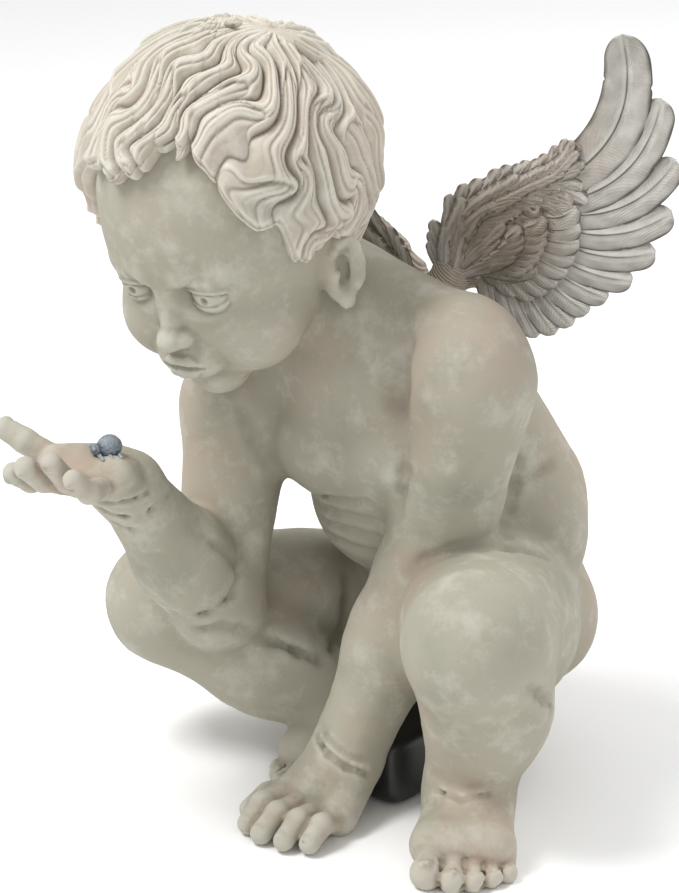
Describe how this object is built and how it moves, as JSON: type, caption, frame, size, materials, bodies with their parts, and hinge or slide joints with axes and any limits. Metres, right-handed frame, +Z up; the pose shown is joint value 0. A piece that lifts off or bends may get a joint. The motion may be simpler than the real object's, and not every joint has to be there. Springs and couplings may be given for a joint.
{
  "type": "cherub statue",
  "caption": "Crouching winged cherub garden statue that looks at a small beetle in its open palm; stands on its foot, hand and a low block.",
  "frame": {"origin": "middle of the ground footprint box, on the ground", "axes": "+Z up, -Y the way the figure's chest faces, +X its left side"},
  "size_m": [0.3292, 0.3258, 0.4321],
  "materials": {
    "stone": "weathered grey-beige cast stone, matt, with pale rubs and darker wash in the creases",
    "feathers": "the same cast stone with a brown wash between the feathers",
    "beetle": "blue-grey painted cast, slightly shiny",
    "block": "smooth satin near-black"
  },
  "bodies": {
    "root": {"figure": "stone", "left_wing": "feathers", "right_wing": "feathers", "ladybird": "beetle", "support_block": "block"}
  },
  "joints": []
}
